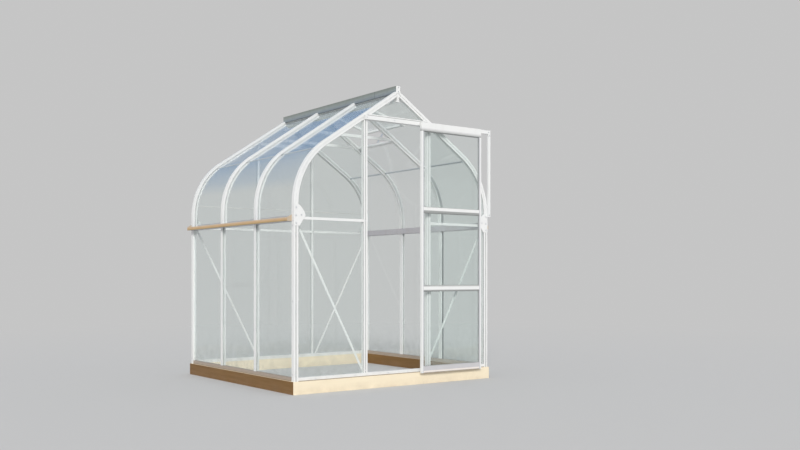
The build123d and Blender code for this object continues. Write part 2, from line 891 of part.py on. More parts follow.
# Roof vent: frame and pane on a tilted plane, hinged at the side of the ridge cap
vent_y = bay_middles[vent_bay]
vent_width = bay_pitch - vent_side_gap
vent_tilt = radians(vent_angle)
vent_hinge_height = ridge_cap_low + vent_hinge_rise
vent_plane = Plane(
    origin=(ridge_cap_width / 2, vent_y, vent_hinge_height),
    x_dir=(cos(vent_tilt), 0, -sin(vent_tilt)),
    z_dir=(sin(vent_tilt), 0, cos(vent_tilt)),
)
with BuildPart() as vent_frame:
    with BuildSketch(vent_plane):
        with Locations((vent_length / 2, 0)):
            Rectangle(vent_length, vent_width)
            Rectangle(vent_length - 2 * vent_bar, vent_width - 2 * vent_bar, mode=Mode.SUBTRACT)
    extrude(amount=-vent_bar_depth)
    split(bisect_by=Plane.YZ.offset(ridge_cap_width / 2), keep=Keep.TOP)
export(vent_frame, "vent_frame")

with BuildPart() as vent_pane:
    with BuildSketch(vent_plane):
        with Locations((vent_length / 2, 0)):
            Rectangle(vent_length - vent_bar, vent_width - vent_bar)
    extrude(amount=pane)
export(vent_pane, "vent_pane")

with BuildPart() as vent_sill:
    vent_sill_length = bay_pitch - bar_width
    with BuildSketch(Plane.XZ.offset(-(vent_y + vent_sill_length / 2))):
        with BuildLine():
            Polyline(
                slope_point(1, vent_sill_distance, flange),
                slope_point(1, vent_sill_distance + vent_sill_width, flange),
                slope_point(1, vent_sill_distance + vent_sill_width, ledge_depth),
                slope_point(1, vent_sill_distance, ledge_depth),
                close=True,
            )
        make_face()
    extrude(amount=vent_sill_length)
export(vent_sill, "vent_sill")

# The stay holds the lower edge of the vent above its sill
vent_edge = vent_length - vent_bar / 2
stay_foot = slope_point(1, vent_sill_distance + vent_sill_width / 2, bar_depth / 2)
stay_head = (
    ridge_cap_width / 2 + vent_edge * cos(vent_tilt),
    vent_hinge_height - vent_edge * sin(vent_tilt) - vent_bar_depth / 2,
)
with BuildPart() as vent_stay:
    with BuildSketch(Plane.XZ.offset(-(vent_y + stay_width / 2))):
        with BuildLine():
            Line(stay_foot, stay_head)
        trace(line_width=stay_thickness)
    extrude(amount=stay_width)
    add(vent_sill.part, mode=Mode.SUBTRACT)
    add(vent_frame.part, mode=Mode.SUBTRACT)
export(vent_stay, "vent_stay")
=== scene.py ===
import json
from math import cos, radians, sin

import bmesh
import bpy
from mathutils import Matrix, Vector

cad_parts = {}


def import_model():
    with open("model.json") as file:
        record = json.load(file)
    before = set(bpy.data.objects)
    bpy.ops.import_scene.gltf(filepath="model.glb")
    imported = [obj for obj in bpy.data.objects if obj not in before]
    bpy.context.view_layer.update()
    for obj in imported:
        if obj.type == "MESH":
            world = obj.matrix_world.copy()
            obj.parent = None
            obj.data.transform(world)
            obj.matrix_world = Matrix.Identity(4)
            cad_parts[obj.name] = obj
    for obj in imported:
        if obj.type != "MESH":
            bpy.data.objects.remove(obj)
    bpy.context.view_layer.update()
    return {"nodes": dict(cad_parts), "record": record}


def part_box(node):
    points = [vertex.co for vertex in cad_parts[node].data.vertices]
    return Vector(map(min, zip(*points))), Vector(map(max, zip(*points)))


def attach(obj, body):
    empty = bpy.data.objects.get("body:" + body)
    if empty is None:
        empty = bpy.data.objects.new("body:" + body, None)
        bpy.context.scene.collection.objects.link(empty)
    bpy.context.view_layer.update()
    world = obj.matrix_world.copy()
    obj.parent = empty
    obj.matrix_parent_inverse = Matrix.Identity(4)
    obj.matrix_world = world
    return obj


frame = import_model()
nodes = frame["nodes"]

# Sizes that the boxes of the nodes don't give, in metres and degrees, as the solids have them
ARCHES = 4
EAVE_RADIUS = 0.6
EAVE_SPRING_RISE = 0.127
ROOF_SLOPE = 33.6
BAR_DEPTH = 0.040
BAR_WIDTH = 0.034
JAMB_WIDTH = 0.036
JAMB_GROOVE = 0.001
STUD_WIDTH = 0.018
STILE_WIDTH = 0.022
MID_RAIL_HEIGHT = 0.045
GUSSET_PLATE = 0.003

# Panes: their thickness, how deep they lie in the arches and behind the gables' faces, and the
# angle on the eave's curve where the curved panes meet the flat ones
PANE = 0.004
PANE_DEPTH = 0.0203
LIP = 0.003
PANE_JOINT = 50.5

# Directions along X and Y
SIDES = (-1, 1)
FRONT = -1
BACK = 1

# Places that follow from the boxes
posts_low, posts_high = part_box("corner_posts")
sill_low, sill_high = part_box("sill_front")
HALF_WIDTH = posts_high.x
FRONT_Y = posts_low.y
BACK_Y = posts_high.y
GUTTER_Z = posts_high.z
JAMB_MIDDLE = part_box("door_jambs")[1].x - JAMB_WIDTH / 2
STUD_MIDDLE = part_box("back_studs")[1].x - STUD_WIDTH / 2
BAY = (BACK_Y - FRONT_Y - BAR_WIDTH) / (ARCHES - 1)
ARCH_Y = [FRONT_Y + BAR_WIDTH / 2 + n * BAY for n in range(ARCHES)]
ARC_X = HALF_WIDTH - EAVE_RADIUS
ARC_TURN = radians(90 - ROOF_SLOPE)
SPRING_Z = GUTTER_Z + EAVE_SPRING_RISE


def gable_y(facing, depth):
    """Y at a depth behind the outer face of the front or back gable."""
    return (FRONT_Y if facing == FRONT else BACK_Y) - facing * depth


def upright_edges(facing):
    """Outer and inner X of the jamb or stud beside the middle of a gable."""
    middle, width = (JAMB_MIDDLE, JAMB_WIDTH) if facing == FRONT else (STUD_MIDDLE, STUD_WIDTH)
    return middle + width / 2, middle - width / 2


# Shader helpers
def new_material(name):
    """An empty node material; returns it with its tree."""
    made = bpy.data.materials.new(name)
    made.use_nodes = True
    made.node_tree.nodes.clear()
    return made, made.node_tree


def feed(tree, made, values):
    """Sets inputs of a node, from pairs of an input and a value or the socket that feeds it."""
    for socket, value in values:
        if isinstance(value, bpy.types.NodeSocket):
            tree.links.new(value, made.inputs[socket])
        else:
            made.inputs[socket].default_value = value


def add(tree, kind, inputs=None, **settings):
    """Adds a node; inputs holds numbers, colours or the sockets that feed it."""
    made = tree.nodes.new("ShaderNode" + kind)
    for name, value in settings.items():
        setattr(made, name, value)
    feed(tree, made, (inputs or {}).items())
    return made


def colour(red, green, blue):
    return (red, green, blue, 1.0)


def noise(tree, scale, detail=3.0, rough=0.5, stretch=(1, 1, 1)):
    """Noise from 0 to 1 over the object's metres; a stretch below 1 draws it out along that axis."""
    spot = add(tree, "TexCoord").outputs["Object"]
    place = add(tree, "Mapping", {"Vector": spot, "Scale": stretch}).outputs["Vector"]
    inputs = {"Vector": place, "Scale": scale, "Detail": detail, "Roughness": rough}
    return add(tree, "TexNoise", inputs).outputs["Fac"]


def remap(tree, value, low, high, to_low=0.0, to_high=1.0):
    """Stretches a value from one range to another, and clamps it."""
    inputs = {
        "Value": value, "From Min": low, "From Max": high, "To Min": to_low, "To Max": to_high
    }
    return add(tree, "MapRange", inputs).outputs["Result"]


def mottle(tree, scale, detail=4.0, to_low=0.0, to_high=1.0):
    """Even noise, spread over a range."""
    return remap(tree, noise(tree, scale, detail), 0.3, 0.7, to_low, to_high)


def calc(tree, operation, first, second=0.0):
    return add(tree, "Math", {0: first, 1: second}, operation=operation).outputs[0]


def mix(tree, share, first, second):
    """Mixes two colours."""
    share_input, first_input, second_input = 0, 6, 7
    made = add(tree, "Mix", data_type="RGBA")
    feed(tree, made, ((share_input, share), (first_input, first), (second_input, second)))
    return made.outputs[2]


def blend(tree, share, first, second):
    """Mixes two shaders."""
    return add(tree, "MixShader", {0: share, 1: first, 2: second}).outputs[0]


def axis_value(tree, axis):
    """The object's X, Y or Z in metres."""
    spot = add(tree, "TexCoord").outputs["Object"]
    return add(tree, "SeparateXYZ", {0: spot}).outputs[axis]


def bump(tree, height, strength, distance, edge_radius=0.0):
    """A bumped normal, over rounded edges where a radius is given."""
    inputs = {"Height": height, "Strength": strength, "Distance": distance}
    if edge_radius:
        inputs["Normal"] = add(tree, "Bevel", {"Radius": edge_radius}, samples=4).outputs[0]
    return add(tree, "Bump", inputs).outputs["Normal"]


def ramp(tree, value, stops):
    """Colours along a value, from (place, colour) pairs."""
    bands = add(tree, "ValToRGB", {0: value})
    marks = bands.color_ramp.elements
    for index, (at, shade) in enumerate(stops):
        mark = marks[index] if index < 2 else marks.new(at)
        mark.position = at
        mark.color = shade
    return bands.outputs["Color"]


def banded(tree, base, bands, axis, soft=0.003):
    """Lays bands of colour over a base: (low, high, shade) in metres on an axis, with soft edges."""
    along = axis_value(tree, axis)
    for low, high, shade in bands:
        above = remap(tree, along, low - soft, low + soft)
        below = remap(tree, along, high - soft, high + soft, 1.0, 0.0)
        base = mix(tree, calc(tree, "MULTIPLY", above, below), base, shade)
    return base


def splash(tree, full, none, share):
    """Soil splashed up from the ground in patches: a share of it at one height, none at another."""
    height = remap(tree, axis_value(tree, "Z"), full, none, 1.0, 0.0)
    patches = remap(tree, noise(tree, 9.0, 6.0, 0.65), 0.35, 0.75)
    return calc(tree, "MULTIPLY", calc(tree, "MULTIPLY", height, patches), share)


def finish_with(tree, shader):
    out = add(tree, "OutputMaterial")
    tree.links.new(shader, out.inputs["Surface"])


def surface(tree, base, rough, normal, more=None):
    """Ends a material in one solid surface; more holds further inputs."""
    inputs = {"Base Color": base, "Roughness": rough, "Normal": normal, **(more or {})}
    finish_with(tree, add(tree, "BsdfPrincipled", inputs).outputs[0])


def satin_surface(tree, base, smoothest, roughest):
    """Ends a material in satin paint on metal, with a fine grain and rounded edges."""
    rough = mottle(tree, 24.0, 4.0, smoothest, roughest)
    surface(tree, base, rough, bump(tree, noise(tree, 700.0, 2.0), 0.12, 0.0004, 0.001))


# Colours of the white paint, of dirt, and of the painted shade and highlight lines on the door's bars
PALE_WHITE = colour(0.86, 0.86, 0.845)
DULL_WHITE = colour(0.82, 0.83, 0.825)
STREAK_DUST = colour(0.62, 0.61, 0.57)
SPECK_DUST = colour(0.52, 0.50, 0.46)
SOIL_ON_PAINT = colour(0.46, 0.41, 0.32)
SOIL_ON_PANES = colour(0.50, 0.44, 0.34)
SOIL_ON_BOARDS = colour(0.30, 0.21, 0.14)
# Painted shade on the door's stiles and rails, a painted highlight on the bottom rail's lip and a
# painted shadow under it
LILAC_SHADE = colour(0.60, 0.60, 0.63)
RECESS_SHADE = colour(0.33, 0.34, 0.335)
RIM_SHADE = colour(0.52, 0.53, 0.52)
PALE_RIM_SHADE = colour(0.72, 0.72, 0.72)
LIP_HIGHLIGHT = colour(0.88, 0.82, 0.77)
LIP_SHADE = colour(0.42, 0.34, 0.26)


# Materials
def white_paint(name, pale=PALE_WHITE, dull=DULL_WHITE, bands=(), axis="Z"):
    """Satin powder coat: near white, with faint streaks, dust and soil low down, over any bands of
    painted shade or highlight given.
    """
    made, tree = new_material(name)
    base = banded(tree, mix(tree, mottle(tree, 2.2), pale, dull), bands, axis)
    upright = noise(tree, 30.0, 4.0, 0.6, stretch=(1, 1, 0.06))
    base = mix(tree, remap(tree, upright, 0.54, 0.82, 0.0, 0.22), base, STREAK_DUST)
    specks = remap(tree, noise(tree, 210.0, 2.0), 0.70, 0.82, 0.0, 0.28)
    base = mix(tree, specks, base, SPECK_DUST)
    base = mix(tree, splash(tree, full=0.09, none=0.40, share=0.22), base, SOIL_ON_PAINT)
    rough = mottle(tree, 14.0, 5.0, 0.30, 0.46)
    normal = bump(tree, noise(tree, 900.0, 2.0), 0.12, 0.0004, 0.0008)
    surface(tree, base, rough, normal, {"IOR": 1.48})
    return made


def glazing(name, haze, tint, film_tint):
    """Clear sheet: see-through, mirror-like at a flat angle, with a little haze, runs and soil."""
    made, tree = new_material(name)
    clear = add(tree, "BsdfTransparent", {"Color": tint}).outputs[0]
    waves = bump(tree, noise(tree, 2.6, 1.0), 0.35, 0.004)
    gloss_inputs = {"Color": colour(0.95, 0.97, 1.0), "Roughness": 0.035, "Normal": waves}
    gloss = add(tree, "BsdfGlossy", gloss_inputs).outputs[0]

    # The mirror's share grows at a flat angle, and is none for direct light, which passes through
    facing = add(tree, "LayerWeight", {"Blend": 0.5}).outputs["Facing"]
    mirror = remap(tree, calc(tree, "POWER", facing, 5.0), 0.0, 1.0, 0.04, 1.0)
    direct_light = add(tree, "LightPath").outputs["Is Shadow Ray"]
    mirror = calc(tree, "MULTIPLY", mirror, calc(tree, "SUBTRACT", 1.0, direct_light))
    sheet = blend(tree, mirror, clear, gloss)

    # A milky film of haze, runs and soil lies over the sheet
    film = remap(tree, noise(tree, 5.0, 6.0, 0.6), 0.25, 0.8, haze * 0.5, haze * 1.5)
    upright = noise(tree, 34.0, 4.0, 0.6, stretch=(1, 1, 0.05))
    runs = remap(tree, upright, 0.55, 0.85, 0.0, haze * 0.35)
    soil = splash(tree, full=0.12, none=0.42, share=0.16)
    share = calc(tree, "ADD", calc(tree, "ADD", film, runs), soil)
    dust = mix(tree, calc(tree, "MULTIPLY", soil, 5.0), film_tint, SOIL_ON_PANES)
    milky = add(tree, "BsdfDiffuse", {"Color": dust}).outputs[0]
    glow = add(tree, "BsdfTranslucent", {"Color": dust}).outputs[0]
    finish_with(tree, blend(tree, share, sheet, blend(tree, 0.4, milky, glow)))
    return made


def base_boards():
    """Boards painted cream on the gable faces and dark brown on the long sides, chosen by which way each
    face points.
    """
    made, tree = new_material("base_boards")
    outwards = add(tree, "NewGeometry").outputs["Normal"]
    sideways = add(tree, "SeparateXYZ", {0: outwards}).outputs["X"]
    long_side = calc(tree, "GREATER_THAN", calc(tree, "ABSOLUTE", sideways), 0.6)
    grain = noise(tree, 60.0, 5.0, 0.6, stretch=(0.06, 0.06, 1))
    fine = remap(tree, grain, 0.3, 0.7)
    cream = mix(tree, fine, colour(0.925, 0.815, 0.617), colour(0.90, 0.785, 0.585))
    brown = mix(tree, fine, colour(0.245, 0.128, 0.036), colour(0.200, 0.102, 0.027))
    worn = mix(tree, long_side, colour(0.82, 0.705, 0.52), colour(0.14, 0.075, 0.032))
    broad = remap(tree, noise(tree, 4.0, 5.0), 0.35, 0.75, 0.0, 0.20)
    base = mix(tree, broad, mix(tree, long_side, cream, brown), worn)
    base = mix(tree, splash(tree, full=0.0, none=0.070, share=0.32), base, SOIL_ON_BOARDS)
    rough = remap(tree, grain, 0.2, 0.8, 0.50, 0.68)
    surface(tree, base, rough, bump(tree, grain, 0.35, 0.0012, 0.002))
    return made


def gutter_paint():
    """Brown outer face with a dark lower edge; rim, inner wall and trough lilac grey, which is painted
    shade on white.
    """
    face_height = 0.029
    face_skin = 0.0015
    made, tree = new_material("gutter_paint")
    low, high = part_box("gutter_right")
    bands = ramp(tree, remap(tree, axis_value(tree, "Z"), low.z, low.z + face_height), (
        (0.00, colour(0.36, 0.26, 0.11)),
        (0.16, colour(0.43, 0.30, 0.13)),
        (0.32, colour(0.60, 0.39, 0.19)),
        (0.64, colour(0.64, 0.43, 0.235)),
        (0.80, colour(0.67, 0.50, 0.33)),
        (1.00, colour(0.66, 0.53, 0.38)),
    ))
    # Everything but the outer face is lilac grey: painted shade
    across = calc(tree, "ABSOLUTE", axis_value(tree, "X"))
    outer = calc(tree, "GREATER_THAN", across, high.x - face_skin)
    base = mix(tree, outer, colour(0.56, 0.54, 0.57), bands)
    patches = noise(tree, 16.0, 6.0, 0.65, stretch=(1, 1, 0.3))
    stains = remap(tree, patches, 0.45, 0.8, 0.0, 0.25)
    base = mix(tree, stains, base, colour(0.30, 0.21, 0.16))
    satin_surface(tree, base, 0.36, 0.52)
    return made


def ridge_paint():
    """Blue-grey satin paint with a dark lower edge that is a painted shadow, bands of tone up its height
    that are painted reflection, duller towards the top, and one seam across.
    """
    seam_behind_front = 0.3035
    shade_line_half = 0.00325
    made, tree = new_material("ridge_paint")
    low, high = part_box("ridge_cap")
    # Tone up the cap's height: a painted shadow at the lower edge and painted reflection in the bands
    # above it
    bands = ramp(tree, remap(tree, axis_value(tree, "Z"), low.z, high.z), (
        (0.00, colour(0.17, 0.20, 0.22)),
        (0.12, colour(0.19, 0.225, 0.25)),
        (0.26, colour(0.31, 0.36, 0.39)),
        (0.50, colour(0.30, 0.34, 0.34)),
        (0.76, colour(0.255, 0.285, 0.265)),
        (0.88, colour(0.23, 0.255, 0.235)),
        (1.00, colour(0.27, 0.295, 0.27)),
    ))
    stains = remap(tree, noise(tree, 18.0, 6.0, 0.65), 0.5, 0.8, 0.0, 0.3)
    base = mix(tree, stains, bands, colour(0.15, 0.15, 0.14))
    seam_y = FRONT_Y + seam_behind_front
    seam = (seam_y - shade_line_half, seam_y + shade_line_half, colour(0.15, 0.17, 0.18))
    satin_surface(tree, banded(tree, base, (seam,), "Y", soft=0.001), 0.38, 0.55)
    return made


def plain_finish(name, light, dark, rough, metallic=0.0):
    """Moulded or metal finish with fine colour and roughness variation."""
    grain = 180.0
    made, tree = new_material(name)
    base = mix(tree, mottle(tree, grain), light, dark)
    spread = mottle(tree, grain / 6, 4.0, rough - 0.08, rough + 0.08)
    normal = bump(tree, noise(tree, grain * 5, 2.0), 0.15, 0.0003, 0.0005)
    surface(tree, base, spread, normal, {"Metallic": metallic})
    return made


def joint_strip():
    """Milky plastic of the eave joint strips, which lets some light through."""
    made, tree = new_material("joint_strip")
    tone = mix(tree, mottle(tree, 40.0), colour(0.90, 0.91, 0.91), colour(0.82, 0.83, 0.83))
    rough = mottle(tree, 60.0, 3.0, 0.30, 0.45)
    solid = add(tree, "BsdfPrincipled", {"Base Color": tone, "Roughness": rough}).outputs[0]
    glow = add(tree, "BsdfTranslucent", {"Color": tone}).outputs[0]
    clear = add(tree, "BsdfTransparent", {"Color": colour(0.97, 0.98, 0.98)}).outputs[0]
    finish_with(tree, blend(tree, 0.5, blend(tree, 0.5, solid, glow), clear))
    return made


def door_paints_and_shade():
    """Paint of the door's bars by node, with the shade lines that the photo shows along them as painted
    shade, a painted highlight along the bottom rail's lip, and the whole bottom rail grey as painted
    shade.
    """
    stiles_low, stiles_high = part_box("door_stiles")
    rails_low, rails_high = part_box("door_mid_rails")
    lower_rail = rails_low.z
    upper_rail = rails_high.z - MID_RAIL_HEIGHT
    top_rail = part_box("door_top_rail")[0].z
    bottom_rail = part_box("door_bottom_rail")[0].z
    # Painted shade along the stiles' inner edges
    stile_bands = (
        (stiles_low.x + 0.0175, stiles_low.x + 0.0330, LILAC_SHADE),
        (stiles_high.x - 0.0330, stiles_high.x - 0.0125, LILAC_SHADE),
    )
    # Painted shade under and over the mid rails
    mid_rail_bands = (
        (lower_rail - 0.002, lower_rail + 0.010, RECESS_SHADE),
        (lower_rail + 0.037, lower_rail + 0.047, RIM_SHADE),
        (upper_rail - 0.002, upper_rail + 0.019, RECESS_SHADE),
    )
    # Painted shade along the top rail's lower edge, darker towards the bottom
    top_rail_bands = (
        (top_rail + 0.015, top_rail + 0.025, PALE_RIM_SHADE),
        (top_rail + 0.006, top_rail + 0.015, RIM_SHADE),
        (top_rail - 0.003, top_rail + 0.006, RECESS_SHADE),
    )
    # A painted highlight on the bottom rail's lip and a painted shadow under it
    bottom_rail_bands = (
        (bottom_rail + 0.005, bottom_rail + 0.018, LIP_HIGHLIGHT),
        (bottom_rail - 0.003, bottom_rail + 0.004, LIP_SHADE),
    )
    # Grey of the bottom rail: painted shade over the white paint
    painted_shade_pale = colour(0.60, 0.595, 0.615)
    painted_shade_dull = colour(0.56, 0.555, 0.58)
    return {
        "door_stiles": white_paint("stile_paint_and_shade", bands=stile_bands, axis="X"),
        "door_mid_rails": white_paint("mid_rail_paint_and_shade", bands=mid_rail_bands),
        "door_top_rail": white_paint("top_rail_paint_and_shade", bands=top_rail_bands),
        "door_bottom_rail": white_paint(
            "bottom_rail_paint_and_shade", painted_shade_pale, painted_shade_dull, bottom_rail_bands
        ),
    }


# Finishes by material slot
FINISHES = {
    "white_paint": white_paint("white_paint"),
    "clear_glazing": glazing(
        "clear_glazing", 0.012, colour(0.982, 0.994, 0.989), colour(0.82, 0.88, 0.85)
    ),
    "door_glazing": glazing(
        "door_glazing", 0.016, colour(0.974, 0.990, 0.985), colour(0.80, 0.88, 0.86)
    ),
    "base_boards": base_boards(),
    "gutter_paint": gutter_paint(),
    "ridge_paint": ridge_paint(),
    "dark_caps": plain_finish("dark_caps", colour(0.36, 0.35, 0.37), colour(0.30, 0.29, 0.31), 0.5),
    "nylon": plain_finish("nylon", colour(0.74, 0.74, 0.71), colour(0.68, 0.68, 0.65), 0.42),
    "bright_metal": plain_finish(
        "bright_metal", colour(0.80, 0.81, 0.82), colour(0.70, 0.71, 0.72), 0.40, metallic=0.8
    ),
}

# Finishes of single nodes and of the pieces added here
# Grey of the gable and door seals, and of the painted shade lines on the frame
GREY_SEAL_AND_SHADE = plain_finish("grey_seals_and_shade_lines", colour(0.42, 0.43, 0.42), colour(0.35, 0.36, 0.35), 0.60)
STRIP = joint_strip()
SIDE_SILL = plain_finish("side_sill", colour(0.43, 0.355, 0.290), colour(0.37, 0.30, 0.245), 0.48)
# Brown of the strip under the sills: a painted shadow line
SILL_SHADOW_BROWN = plain_finish("sill_shadow_brown", colour(0.34, 0.265, 0.185), colour(0.28, 0.215, 0.150), 0.60)
END_CAP = plain_finish("end_cap", colour(0.56, 0.455, 0.335), colour(0.50, 0.40, 0.29), 0.50)
NODE_FINISHES = {"side_sills": SIDE_SILL, "gutter_end_caps": END_CAP, **door_paints_and_shade()}

for part in frame["record"]["subparts"]:
    mesh = nodes[part["node"]].data
    mesh.materials.clear()
    mesh.materials.append(NODE_FINISHES.get(part["node"], FINISHES[part["material_slot"]]))


# Mesh helpers
def make_piece(name, mesh_data, finish, body="frame"):
    """Turns a bmesh into a piece that rides on a body."""
    mesh = bpy.data.meshes.new(name)
    bmesh.ops.recalc_face_normals(mesh_data, faces=mesh_data.faces)
    mesh_data.to_mesh(mesh)
    mesh_data.free()
    mesh.materials.append(finish)
    piece = bpy.data.objects.new(name, mesh)
    bpy.context.scene.collection.objects.link(piece)
    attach(piece, body)


def block(mesh_data, low, high, rounding=0.0005):
    """A box between two corners, with rounded edges."""
    low, high = Vector(map(min, low, high)), Vector(map(max, low, high))
    size = high - low
    spot = Matrix.Translation((low + high) / 2) @ Matrix.Diagonal((*size, 1))
    made = bmesh.ops.create_cube(mesh_data, size=1.0, matrix=spot)
    edges = list({edge for corner in made["verts"] for edge in corner.link_edges})
    width = min(rounding, min(size) * 0.35)
    bmesh.ops.bevel(mesh_data, geom=edges, offset=width, segments=2, affect="EDGES", profile=0.7)


def disc(mesh_data, base, start, height, radius, top_radius, sides):
    """A low prism, narrower at its top, that starts some way along the Z of a matrix."""
    bmesh.ops.create_cone(
        mesh_data, cap_ends=True, segments=sides, radius1=radius, radius2=top_radius,
        depth=height, matrix=base @ Matrix.Translation((0, 0, start + height / 2)),
    )


def bolt(mesh_data, spot, axis, radius):
    """A hexagon head on a round washer, standing out along axis from spot."""
    washer_height = 0.0012
    washer_foot, washer_top, washer_sides = radius * 1.55, radius * 1.45, 20
    head_height = radius * 0.75
    head_top, head_sides = radius * 0.86, 6
    turn = Vector(axis).to_track_quat("Z", "Y").to_matrix().to_4x4()
    base = Matrix.Translation(spot) @ turn
    disc(mesh_data, base, 0, washer_height, washer_foot, washer_top, washer_sides)
    disc(mesh_data, base, washer_height, head_height, radius, head_top, head_sides)


def arc_point(turn, depth):
    """A point of the right eave's curve at a depth below its outer line: (x, z, angle)."""
    radius = EAVE_RADIUS - depth
    return ARC_X + radius * cos(turn), SPRING_Z + radius * sin(turn), turn


def arch_outline(depth, foot_z, end_x, steps=15):
    """Points of the right half of the arch at a depth below its outer line: (x, z, angle)."""
    points = [(HALF_WIDTH - depth, foot_z, 0.0)]
    points += [arc_point(ARC_TURN * step / steps, depth) for step in range(steps + 1)]
    last_x, last_z, turn = points[-1]
    reach = (last_x - end_x) / sin(turn)
    points.append((end_x, last_z + reach * cos(turn), turn))
    return points


def swept_strip(mesh_data, side, points, near_y, far_y, thickness):
    """A strip that follows outline points between two Y values, growing inwards."""
    rings = []
    for x, z, turn in points:
        ring = []
        for y, depth in ((near_y, 0), (far_y, 0), (far_y, thickness), (near_y, thickness)):
            spot = (side * (x - depth * cos(turn)), y, z - depth * sin(turn))
            ring.append(mesh_data.verts.new(spot))
        rings.append(ring)
    for first, second in zip(rings, rings[1:]):
        for index in range(4):
            after = (index + 1) % 4
            mesh_data.faces.new((first[index], first[after], second[after], second[index]))
    mesh_data.faces.new(rings[0])
    mesh_data.faces.new(list(reversed(rings[-1])))


# Seals, strips, and thin grey strips that are painted shade lines
def gable_seals():
    """Seals along the gable panes, where they meet the arches and the uprights."""
    seal = 0.0022
    proud = 0.0015
    beside_ridge = 0.018
    header_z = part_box("front_header")[0].z
    outline = arch_outline(BAR_DEPTH, sill_high.z, beside_ridge)
    for facing, name in ((FRONT, "front_gable_seals"), (BACK, "back_gable_seals")):
        mesh_data = bmesh.new()
        near = gable_y(facing, LIP)
        far = gable_y(facing, LIP - proud)
        outer, inner = upright_edges(facing)
        edges = [(outer, seal)] if facing == FRONT else [(outer, seal), (inner, -seal)]
        for side in SIDES:
            swept_strip(mesh_data, side, outline, near, far, seal)
            for edge, width in edges:
                foot = (side * edge, near, sill_high.z)
                block(mesh_data, foot, (side * (edge + width), far, header_z))
        make_piece(name, mesh_data, GREY_SEAL_AND_SHADE)


def eave_joint_strips():
    """Strips on both faces of the joint between the curved eave panes and the flat roof panes."""
    strip = 0.013
    thickness = 0.0014
    gap = 0.0003
    past_joint = 0.001
    for side, name in ((-1, "left_joint_strips"), (1, "right_joint_strips")):
        mesh_data = bmesh.new()
        for first, second in zip(ARCH_Y, ARCH_Y[1:]):
            near = first + BAR_WIDTH / 2
            far = second - BAR_WIDTH / 2
            for depth in (PANE_DEPTH - gap - thickness, PANE_DEPTH + PANE + gap):
                radius = EAVE_RADIUS - depth
                spread = strip / 2 / radius
                middle = radians(PANE_JOINT) + past_joint / radius
                points = [arc_point(middle + turn, depth) for turn in (-spread, 0, spread)]
                swept_strip(mesh_data, side, points, near, far, thickness)
        make_piece(name, mesh_data, STRIP)


def back_joint():
    """A thin joint across the back gable panes, part way up, on both faces."""
    middle_z = 1.527
    half = 0.0025
    proud = 0.0012
    end_gap = 0.012
    edge = HALF_WIDTH - BAR_DEPTH - end_gap
    outer, inner = upright_edges(BACK)
    mesh_data = bmesh.new()
    for start, end in ((-edge, -outer), (-inner, inner), (outer, edge)):
        for face, out in ((LIP, LIP - proud), (LIP + PANE, LIP + PANE + proud)):
            low = (start, gable_y(BACK, out), middle_z - half)
            block(mesh_data, low, (end, gable_y(BACK, face), middle_z + half))
    make_piece("back_pane_joint", mesh_data, FINISHES["nylon"])


def door_seals_and_shade():
    """Seals round the door panes on both faces, wider along the rails than along the stiles; the wider
    grey along the rails is partly painted shade.
    """
    along_rails = 0.004
    along_stiles = 0.0025
    proud = 0.003
    panes_low, panes_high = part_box("door_panes")
    stiles_low, stiles_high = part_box("door_stiles")
    rails_low, rails_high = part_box("door_mid_rails")
    left, right = stiles_low.x + STILE_WIDTH, stiles_high.x - STILE_WIDTH
    heights = (
        (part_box("door_bottom_rail")[1].z, rails_low.z),
        (rails_low.z + MID_RAIL_HEIGHT, rails_high.z - MID_RAIL_HEIGHT),
        (rails_high.z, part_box("door_top_rail")[0].z),
    )
    mesh_data = bmesh.new()
    for face, out in ((panes_low.y, -proud), (panes_high.y, proud)):
        for bottom, top in heights:
            block(mesh_data, (left, face, top - along_rails), (right, face + out, top))
            block(mesh_data, (left, face, bottom), (right, face + out, bottom + along_rails))
            for edge, inwards in ((left, along_stiles), (right, -along_stiles)):
                block(mesh_data, (edge, face, bottom), (edge + inwards, face + out, top))
    make_piece("door_seals_and_shade", mesh_data, GREY_SEAL_AND_SHADE, "door")


def frame_shade_lines():
    """Painted shade lines on the frame, as thin grey strips: in the jambs' grooves, down the corner
    posts and over the track.
    """
    groove_half = 0.0025
    shade_line_half = 0.0032
    shade_line_inset = 0.0188
    thin = 0.0006
    thin_rounding = 0.0002
    track_line = 0.0088
    track_line_proud = 0.0012
    mesh_data = bmesh.new()

    # A painted shade line in each jamb's groove
    jambs_low, jambs_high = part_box("door_jambs")
    floor = gable_y(FRONT, JAMB_GROOVE)
    for side in SIDES:
        middle = side * JAMB_MIDDLE
        low = (middle - groove_half, floor, jambs_low.z)
        high = (middle + groove_half, floor + FRONT * thin, jambs_high.z)
        block(mesh_data, low, high, thin_rounding)

    # A painted shade line down each corner post's face
    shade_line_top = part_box("gusset_plates")[0].z
    for facing in (FRONT, BACK):
        face = gable_y(facing, 0)
        for side in SIDES:
            middle = side * (HALF_WIDTH - shade_line_inset)
            low = (middle - shade_line_half, face, posts_low.z)
            high = (middle + shade_line_half, face + facing * thin, shade_line_top)
            block(mesh_data, low, high, thin_rounding)

    # A painted shade line along the header, over the track
    header_low, header_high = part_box("front_header")
    track_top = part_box("door_track")[1].z
    line_top = (header_high.x, header_low.y - track_line_proud, track_top + track_line)
    block(mesh_data, (header_low.x, header_low.y, track_top), line_top)
    make_piece("frame_shade_lines", mesh_data, GREY_SEAL_AND_SHADE)


